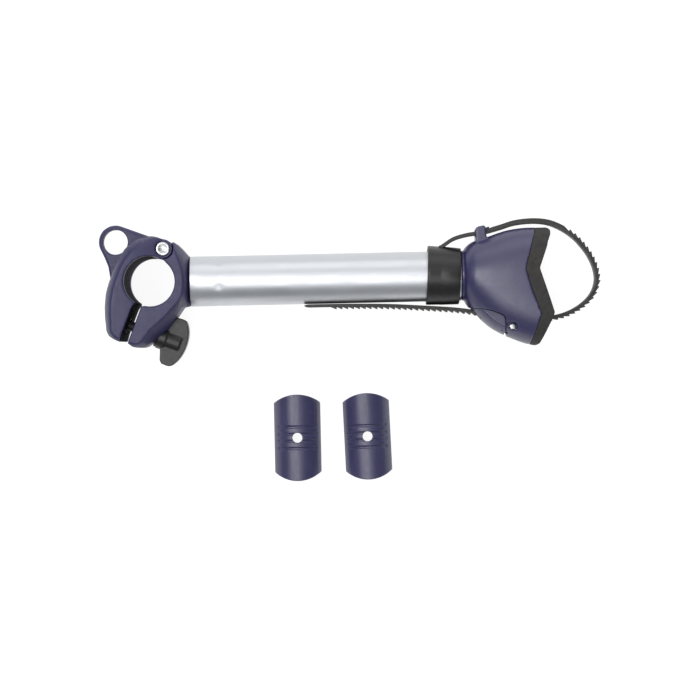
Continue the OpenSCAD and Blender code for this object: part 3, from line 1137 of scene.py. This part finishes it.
@dataclass
class Strap:
    """Toothed strap on a planar route, with the collar that holds its root."""

    finishes: Finishes
    route: tuple[Point, ...] = (
        (172.5, 16.9), (175, 18.2), (181.4, 22.2), (189.6, 24.4), (197.3, 25.5),
        (209, 28.5), (217, 30.9), (225, 31.9), (232, 31.9), (238.6, 30.8),
        (244.5, 28.4), (250, 25.1), (255, 21), (259, 16.4), (262.5, 11.4),
        (265.6, 4.8), (267, -1.7), (266.6, -6.8), (264.4, -12.4), (260.4, -17.2),
        (254.4, -21.6), (247, -24.9), (238, -26.8), (229, -27.3), (216, -26.8),
        (202, -25.1), (193.3, -22.5), (181.2, -20.6), (163.2, -19.1), (148, -18),
        (136, -17.4), (118, -17), (104.5, -16.9), (91, -16.9),
    )
    width: float = 10.0
    pitch: float = 3.5
    tooth_h: float = 1.4
    inner: float = 1.6
    web_top: float = 0.2
    guide_s: float = 27.0
    teeth_s: float = 82.0
    plain_end: float = 13.0
    held_tooth: int = 30
    collar_at: Point = (174.7, 0.25)
    collar_l: float = 19.8
    collar_tilt: float = 3.0
    collar_in_r: float = 16.0
    path: np.ndarray = field(init=False)
    runs: np.ndarray = field(init=False)

    def __post_init__(self) -> None:
        """Works out the route's fine points and the length up to each."""
        self.path = bend(self.route, 4)
        steps = np.linalg.norm(np.diff(self.path, axis=0), axis=1)
        self.runs = np.concatenate([[0.0], np.cumsum(steps)])

    @property
    def length(self) -> float:
        """Length of the strap along its route."""
        return float(self.runs[-1])

    @property
    def tooth_count(self) -> int:
        """Number of teeth."""
        return int((self.length - self.plain_end - self.teeth_s) // self.pitch)

    def beside(self, s: float, off: float) -> Point:
        """Point beside the route.

        Args:
            s: length along the route.
            off: distance from the route to its outer side.

        Returns:
            The point's x and y.
        """
        ahead = min(s + 1.0, self.length)
        behind = max(ahead - 2.0, 0.0)
        here, near, far = (
            np.array([np.interp(at, self.runs, self.path[:, axis]) for axis in (0, 1)])
            for at in (s, behind, ahead)
        )
        dx, dy = (far - near) / math.hypot(*(far - near))
        return (float(here[0] - off * dy), float(here[1] + off * dx))

    def band(
        self, start: float, end: float, out: float, inward: float, step: float = 2.5
    ) -> list[Point]:
        """Closed outline that follows the strap between two lengths.

        Args:
            start: first length.
            end: last length.
            out: distance from the route to the outline's outer side.
            inward: distance to its inner side.
            step: longest step along it.

        Returns:
            The outline's points.
        """
        lengths = np.linspace(start, end, max(2, math.ceil((end - start) / step)) + 1)
        outer = [self.beside(s, out) for s in lengths]
        return outer + [self.beside(s, -inward) for s in reversed(lengths)]

    def channel(self, start: float, end: float, room: float, half: float) -> bpy.types.Object:
        """Cutter for a slot that the strap runs through."""
        out = self.web_top + self.tooth_h + room
        return prism("channel", self.band(start, end, out, self.inner + room), -half, half)

    def outer_at(self, s: float) -> float:
        """Distance from the route to the web's outer face, at a length."""
        guide, teeth, end = self.guide_s, self.teeth_s, self.length
        marks = [0, guide - 2, guide + 4, guide + 8, teeth - 4, teeth, end - 2, end]
        offs = [1.1, 1.1, 1.1, 1.4, 1.4, self.web_top, self.web_top, -0.5]
        return float(np.interp(s, marks, offs))

    def inner_at(self, s: float) -> float:
        """Distance from the route to the strap's inner face, at a length."""
        marks = [0, self.guide_s - 3, self.guide_s + 3, self.length - 2, self.length]
        return float(np.interp(s, marks, [1.1, 1.1, self.inner, self.inner, 1.1]))

    def build(self) -> None:
        """Builds the strap with its teeth, and the collar."""
        web = self.web()
        tooth = self.tooth()
        line = self.line()
        last = self.teeth_s + (self.tooth_count - 1) * self.pitch
        tooth_rows(self.finishes.strap).run(
            web,
            {
                "Route": line,
                "Tooth": tooth,
                "First": self.teeth_s * MM,
                "Last": last * MM,
                "Count": self.tooth_count,
            },
        )
        drop(tooth, line)
        shade_by_angle(web, degrees=35)
        dress(web, self.finishes.strap)
        settle(web, "head", "strap_plastic", "ratchet_strap")
        LOG.info("strap is %.0f mm long with %d teeth", self.length, self.tooth_count)
        self.collar()

    def web(self) -> bpy.types.Object:
        """Builds the plain strap, with the stop behind its guide.

        Returns:
            The solid.
        """
        half = self.width / 2
        lengths = np.linspace(0, self.length, 180)
        outline = [self.beside(s, self.outer_at(s)) for s in lengths]
        outline += [self.beside(s, -self.inner_at(s)) for s in reversed(lengths)]
        web = prism("ratchet_strap_moulded", outline, -half, half)
        bevel_edges(web, width=0.3, segments=2, angle=50)
        rise = self.band(self.guide_s + 3.2, self.guide_s + 5.6, 2.2, 0.0, 0.8)
        stop = prism("stop", rise, 0.6 - half, half - 0.6)
        bevel_edges(stop, width=0.4, segments=3, angle=30)
        self.join(web, stop)
        return web

    def tooth(self) -> bpy.types.Object:
        """Builds one tooth at the origin, with its steep side at x = 0.

        Returns:
            The solid.
        """
        half = self.width / 2 - 0.25
        sunk, tip, foot = self.web_top - 0.3, self.web_top + self.tooth_h, self.pitch + 0.1
        outline = [
            (0.0, sunk), (0.0, tip - 0.15), (0.12, tip), (0.5, tip - 0.1),
            (foot, self.web_top), (foot, sunk),
        ]
        return prism("tooth", outline, -half, half)

    def line(self) -> bpy.types.Object:
        """Builds the route as a curve, for the teeth to follow.

        Returns:
            The curve's object.
        """
        curve = bpy.data.curves.new("route", "CURVE")
        curve.dimensions = "3D"
        spline = curve.splines.new("POLY")
        spline.points.add(len(self.path) - 1)
        for point, (x, y) in zip(spline.points, self.path):
            point.co = (x * MM, y * MM, 0, 1)
        line = bpy.data.objects.new("route", curve)
        bpy.context.scene.collection.objects.link(line)
        return line

    @staticmethod
    def join(keep: bpy.types.Object, other: bpy.types.Object) -> None:
        """Adds one mesh to another, and removes its object.

        Args:
            keep: object that takes the mesh.
            other: object that is removed.
        """
        work = bmesh.new()
        work.from_mesh(keep.data)
        work.from_mesh(other.data)
        work.to_mesh(keep.data)
        work.free()
        drop(other)

    def collar(self) -> None:
        """Turns the collar, with fine ridges round its left part."""
        half, inner = self.collar_l / 2, self.collar_in_r
        ridged = [
            (-half + 1.2 + 0.55 * k, 17.66 - 0.025 * k + (0.2 if k % 2 else 0.0)) for k in range(14)
        ]
        profile = [
            (-half, inner + 0.2), (-half, 17.4), (-half + 0.15, 17.65), (-half + 0.5, 17.8),
            *ridged,
            (half - 0.6, 16.9), (half - 0.2, 16.75), (half, 16.5), (half, inner + 0.2),
            (half - 0.3, inner), (-half + 0.3, inner),
        ]
        collar = lathe("strap_collar_moulded", profile, 160, closed=True)
        tilt = Matrix.Rotation(math.radians(-self.collar_tilt), 4, "Z")
        shift = Matrix.Translation((self.collar_at[0] * MM, self.collar_at[1] * MM, 0))
        collar.data.transform(shift @ tilt)
        shade_by_angle(collar, degrees=40)
        dress(collar, self.finishes.black)
        settle(collar, "head", "black_plastic", "strap_collar")


# ---- cradle head --------------------------------------------------------


@dataclass
class CradleHead:
    """Head that swells from a round neck to a squared face, its pad and lever."""

    finishes: Finishes
    strap: Strap
    # place along X, top, bottom, half depth, and squareness of the section
    stations: tuple[tuple[float, float, float, float, float], ...] = (
        (187.3, 15.6, -15.9, 15.6, 2.0),
        (187.8, 16.5, -17.0, 16.6, 2.0),
        (190.4, 18.9, -20.5, 18.7, 2.05),
        (194.0, 20.7, -24.3, 20.4, 2.15),
        (201.4, 22.9, -31.0, 22.3, 2.35),
        (207.7, 25.0, -35.0, 23.2, 2.5),
        (214.0, 26.7, -37.9, 23.7, 2.6),
        (222.4, 27.8, -41.2, 23.95, 2.7),
        (231.0, 27.9, -43.0, 23.95, 2.75),
        (246.0, 27.9, -43.0, 23.95, 2.75),
    )
    face: tuple[Point, ...] = (
        (230.3, 27.7), (229.2, 25.8), (224.3, 9.2), (222.6, 2.9), (226.0, -9.3),
        (231.5, -24.2), (230.1, -27.9), (225.9, -40.0), (225.2, -43.0),
    )
    pad_front: tuple[Point, ...] = (
        (228.6, -43.0), (230.9, -41.6), (238.6, -25.6), (239.2, -23.3), (235.7, -12.1),
        (231.4, 1.4), (230.9, 2.9), (231.4, 4.4), (235.8, 16.3), (236.3, 18.6),
        (238.2, 23.2), (238.5, 25.8), (236.8, 27.7),
    )
    neck_r: float = 14.9
    pin: Point = (214.5, -31.3)
    pin_r: float = 1.8
    pin_half: float = 17.0
    arm_half: float = 10.8
    arm_room: float = 0.4
    boss_r: float = 3.7
    boss_room_r: float = 4.2
    lever_half: float = 15.5
    slot_half: float = 5.8
    strap_room: float = 0.8
    guide_room: float = 0.45
    spring_turns: float = 6.5
    spring_r: float = 2.3
    spring_height: float = 4.8
    spring_wire: float = 0.35
    # voxel in millimetres and smoothing passes
    housing_rounding: tuple[float, int] = (0.5, 3)
    pad_rounding: tuple[float, int] = (0.45, 3)
    lever_rounding: tuple[float, int] = (0.3, 2)

    def bell(self, name: str, grow: float = 0.0) -> bpy.types.Object:
        """Closed loft of the head's outer shape.

        Args:
            name: name of the object.
            grow: millimetres that it is grown by.

        Returns:
            The solid.
        """
        given = np.array(self.stations)
        marks = np.unique(np.concatenate([given[:, 0], np.linspace(188, 246, 70)]))
        smooth = bend([tuple(row) for row in self.stations], 8)
        columns = [np.interp(marks, smooth[:, 0], smooth[:, k]) for k in range(1, 5)]
        around = 144
        verts = []
        for x, top, bottom, depth, power in zip(marks, *columns):
            middle, height = (top + bottom) / 2, (top - bottom) / 2 + grow
            for a in np.linspace(0, 2 * math.pi, around, endpoint=False):
                s, c = math.sin(a), math.cos(a)
                y = middle + height * math.copysign(abs(s) ** (2 / power), s)
                z = (depth + grow) * math.copysign(abs(c) ** (2 / power), c)
                verts.append((x, y, z))
        return mesh_object(name, verts, grid_faces(len(marks), around))

    def round_bar(self, radius: float, half: float) -> bpy.types.Object:
        """Cylinder on the pin's axis."""
        return prism("bar", arc(self.pin, radius, 0, 360, 48)[:-1], -half, half)

    def notch(self) -> list[Point]:
        """Outline of the notch that the lever fills."""
        shoulder = [
            (188, -19.3), (194, -19.9), (200.8, -20.8), (206, -22.5), (209.7, -24.4), (210.8, -26.5)
        ]
        rest = [(210.8, -31.3), (212.6, -42), (212.6, -60), (178, -60)]
        return [(178, -19.2), *map(tuple, bend(shoulder, 4)), *rest]

    def build(self) -> None:
        """Builds the housing, pad, lever, pin and spring."""
        self.housing()
        self.pad()
        self.lever()
        self.pin_and_spring()

    def housing(self) -> None:
        """Carves the housing out of the bell and adds its neck and strap guide."""
        body = self.bell("head_housing_moulded")
        seat = [(230.3, 60.0), *self.face, (225.2, -70.0), (270.0, -70.0), (270.0, 60.0)]
        carve(body, Cut.AWAY, prism("seat", seat, -THROUGH, THROUGH))
        carve(body, Cut.AWAY, prism("notch", self.notch(), -THROUGH, THROUGH))
        guide = [
            (194.4, 14), (194.4, 27.4), (194.8, 28.4), (195.8, 29.0), (199.0, 29.6),
            (199.9, 29.3), (200.3, 28.2), (200.6, 23.6), (201.4, 22.0), (201.0, 14),
        ]
        carve(body, Cut.JOIN, prism("guide", guide, -8.8, 8.8))
        spigot = [(185.4, self.neck_r - 0.3), (185.7, self.neck_r), (189.0, self.neck_r)]
        carve(body, Cut.JOIN, lathe("neck", spigot))
        room = [
            (209, -24.4), (212.5, -26.4), (214.5, -26.9), (214.5, -31.3),
            (212.1, -34.9), (211.7, -35.4), (211.7, -60), (209, -60),
        ]
        reach = self.arm_half + self.arm_room
        carve(
            body,
            Cut.AWAY,
            prism("arms", room, -reach, reach),
            self.round_bar(self.boss_room_r, reach),
            self.round_bar(self.pin_r, 40),
            self.strap.channel(148, 225, self.strap_room, self.slot_half),
            self.strap.channel(19, 35, self.guide_room, self.slot_half),
            lathe("bolt", [(150, 4.1), (192.9, 4.1), (193, 9.4), (260, 9.4)], 64),
        )
        pocket = [
            *arc((self.pin[0] + 0.2, self.pin[1]), 2.9, 90, -90, 16), (211.2, -34.2), (211.2, -28.4)
        ]
        for low, high in ((16.0, 40), (-40, -16.0)):
            carve(body, Cut.AWAY, prism("pocket", pocket, low, high))
        mould(body, *self.housing_rounding)
        dress(body, self.finishes.navy)
        settle(body, "head", "navy_plastic", "head_housing")

    def pad(self) -> None:
        """Cuts the V pad from the bell, so that its edges follow the head's."""
        pad = self.bell("v_pad_moulded", -0.05)
        outline = [*self.pad_front, *self.face]
        carve(pad, Cut.COMMON, prism("outline", outline, -THROUGH, THROUGH))
        carve(pad, Cut.AWAY, self.strap.channel(148, 175, self.strap_room, self.slot_half))
        mould(pad, *self.pad_rounding)
        dress(pad, self.finishes.rubber)
        settle(pad, "head", "pad_rubber", "v_pad")

    def lever(self) -> None:
        """Cuts the release lever from the bell, with its arms and pawl."""
        lever = self.bell("ratchet_lever_moulded", -0.15)
        top = [
            (190.6, -19.5), (194, -20.0), (200.8, -20.9),
            (206, -22.6), (209.6, -24.5), (210.7, -26.6),
        ]
        side = [(210.6, -31.3), (210.05, -37), (180, -60), (180, -18)]
        outline = [*map(tuple, bend(top, 4)), *side]
        carve(lever, Cut.COMMON, prism("outline", outline, -self.lever_half, self.lever_half))
        inner, outer = self.slot_half + 0.2, self.arm_half
        floor = [self.strap.beside(s, self.strap.inner + 0.6) for s in np.arange(246, 212, -4)]
        room = [(180, -21.2), *floor, (212, -28.9), (212, 0), (180, 0)]
        carve(lever, Cut.AWAY, prism("room", room, -inner, inner))
        arm = [
            (208, -25.6), (212.6, -27.9), (214.5, -27.6),
            (214.5, -35), (211.5, -33.6), (208, -34.2),
        ]
        for low, high in ((inner, outer), (-outer, -inner)):
            carve(lever, Cut.JOIN, prism("arm", arm, low, high))
            boss = prism("boss", arc(self.pin, self.boss_r, 0, 360, 40)[:-1], low, high)
            carve(lever, Cut.JOIN, boss)
        held = self.strap.teeth_s + self.strap.held_tooth * self.strap.pitch
        pawl = [
            self.strap.beside(held - 0.6, 0.75), self.strap.beside(held - 0.6, 4.4),
            self.strap.beside(held - 3.6, 4.4), self.strap.beside(held - 3.6, 2.1),
        ]
        carve(lever, Cut.JOIN, prism("pawl", pawl, -self.slot_half - 1, self.slot_half + 1))
        carve(lever, Cut.AWAY, self.round_bar(self.pin_r + 0.08, 40))
        mould(lever, *self.lever_rounding)
        dress(lever, self.finishes.navy)
        settle(lever, "lever", "navy_plastic", "ratchet_lever")

    def pin_and_spring(self) -> None:
        """Turns the pin with its crowned ends, and winds the spring."""
        r, half = self.pin_r - 0.02, self.pin_half
        crown = [
            (half - 0.5, r), (half - 0.25, r - 0.08), (half - 0.08, r - 0.4),
            (half, r - 1.0), (half, 0.01),
        ]
        profile = [(-x, radius) for x, radius in reversed(crown)] + crown
        pin = lathe("ratchet_pin_turned", profile, 48)
        upright = Matrix.Rotation(-math.pi / 2, 4, "Y")
        at_pin = Matrix.Translation((self.pin[0] * MM, self.pin[1] * MM, 0))
        pin.data.transform(at_pin @ upright)
        shade_by_angle(pin, degrees=40)
        dress(pin, self.finishes.steel)
        settle(pin, "head", "steel", "ratchet_pin")
        spring = coil_tree(self.finishes.steel).run(
            mesh_object("lever_spring_wound", [], []),
            {
                "Turns": self.spring_turns,
                "Radius": self.spring_r * MM,
                "Height": self.spring_height * MM,
                "Wire": self.spring_wire * MM,
            },
        )
        centred = Matrix.Translation((0, 0, -self.spring_height / 2 * MM))
        spring.data.transform(at_pin @ centred)
        shade_smooth(spring)
        settle(spring, "head", "steel", "lever_spring")


# ---- adapter shells -----------------------------------------------------


@dataclass
class AdapterShells:
    """The two loose half shells that narrow the clamp's bore."""

    finishes: Finishes
    # voxel in millimetres and smoothing passes
    rounding: tuple[float, int] = (0.3, 3)

    def build(self) -> None:
        """Rounds both shells as moulded pieces."""
        for letter in "ab":
            node = f"adapter_shell_{letter}"
            shell = mould(cad_copy(node + "_moulded", node), *self.rounding)
            dress(shell, self.finishes.navy)
            settle(shell, f"shell_{letter}", "navy_plastic", node)


# ---- stage --------------------------------------------------------------


@dataclass(frozen=True)
class SoftBox:
    """A rectangular soft light: where it hangs in metres, its size and brightness."""

    name: str
    offset: tuple[float, float, float]
    size: tuple[float, float]
    radiance: float


@dataclass
class Stage:
    """Floor, lights and camera."""

    centre: Point = (117.8, -43.1)
    height: float = 1290.0
    roll: float = -1.24
    lens: float = 110.5
    # the floor lies just below the arm
    floor_z: float = -24.05
    floor_half: float = 6000.0
    floor_glow: float = 0.9
    surround: float = 0.38
    boxes: tuple[SoftBox, ...] = (
        SoftBox("overhead", (-0.15, 0.0, 1.9), (0.9, 0.4), 3.4),
        SoftBox("low", (0.0, -0.62, 1.85), (1.6, 0.6), 1.8),
        SoftBox("upper", (0.0, 0.85, 1.75), (2.2, 0.7), 0.7),
        SoftBox("left", (-0.9, 0.25, 1.7), (0.6, 0.6), 7.0),
        SoftBox("side", (0.0, 1.8, 0.9), (2.6, 1.4), 1.1),
    )

    def build(self) -> None:
        """Builds the stage."""
        self.floor()
        self.lights()
        self.camera()

    def floor(self) -> None:
        """Lays a wide pale floor under the arm."""
        side = self.floor_half
        corners = [(-side, -side), (side, -side), (side, side), (-side, side)]
        x, y = self.centre
        verts = [(x + a, y + b, self.floor_z) for a, b in corners]
        floor = mesh_object("floor", verts, [(0, 1, 2, 3)])
        sheet = Surface("backlit_opal_acrylic")
        shader = sheet.shader
        shader.inputs["Base Color"].default_value = linear("808080")
        shader.inputs["Roughness"].default_value = 0.9
        shader.inputs["Specular IOR Level"].default_value = 0.1
        shader.inputs["Emission Color"].default_value = linear("ffffff")
        shader.inputs["Emission Strength"].default_value = self.floor_glow
        dress(floor, sheet.material)

    def lights(self) -> None:
        """Hangs the soft boxes over an even grey surround."""
        x, y = (c * MM for c in self.centre)
        target = Vector((x, y, 0))
        for box in self.boxes:
            data = bpy.data.lights.new(box.name, "AREA")
            data.shape = "RECTANGLE"
            data.size, data.size_y = box.size
            data.energy = box.radiance * WATTS_PER_AREA * box.size[0] * box.size[1]
            lamp = bpy.data.objects.new(box.name, data)
            lamp.location = target + Vector(box.offset)
            lamp.rotation_euler = (target - lamp.location).to_track_quat("-Z", "Y").to_euler()
            bpy.context.scene.collection.objects.link(lamp)
        world = bpy.data.worlds.new("surround")
        world.use_nodes = True
        background = world.node_tree.nodes["Background"]
        background.inputs["Color"].default_value = linear("eceef2")
        background.inputs["Strength"].default_value = self.surround
        bpy.context.scene.world = world
        bpy.context.scene.view_settings.view_transform = "Standard"

    def camera(self) -> None:
        """Hangs the camera over the stage's centre, looking straight down."""
        data = bpy.data.cameras.new("camera")
        data.lens = self.lens
        data.sensor_width = 36.0
        camera = bpy.data.objects.new("camera", data)
        camera.location = (self.centre[0] * MM, self.centre[1] * MM, self.height * MM)
        camera.rotation_euler = (0, 0, math.radians(self.roll))
        bpy.context.scene.collection.objects.link(camera)
        bpy.context.scene.camera = camera


def main() -> None:
    """Builds every sub-assembly in order and notes the two sizes."""
    logging.basicConfig(level=logging.INFO, format="%(message)s")
    finishes = Finishes()
    Clamp(finishes).build()
    Tube(finishes).build()
    strap = Strap(finishes)
    strap.build()
    CradleHead(finishes, strap).build()
    AdapterShells(finishes).build()
    Stage().build()


if __name__ == "__main__":
    main()
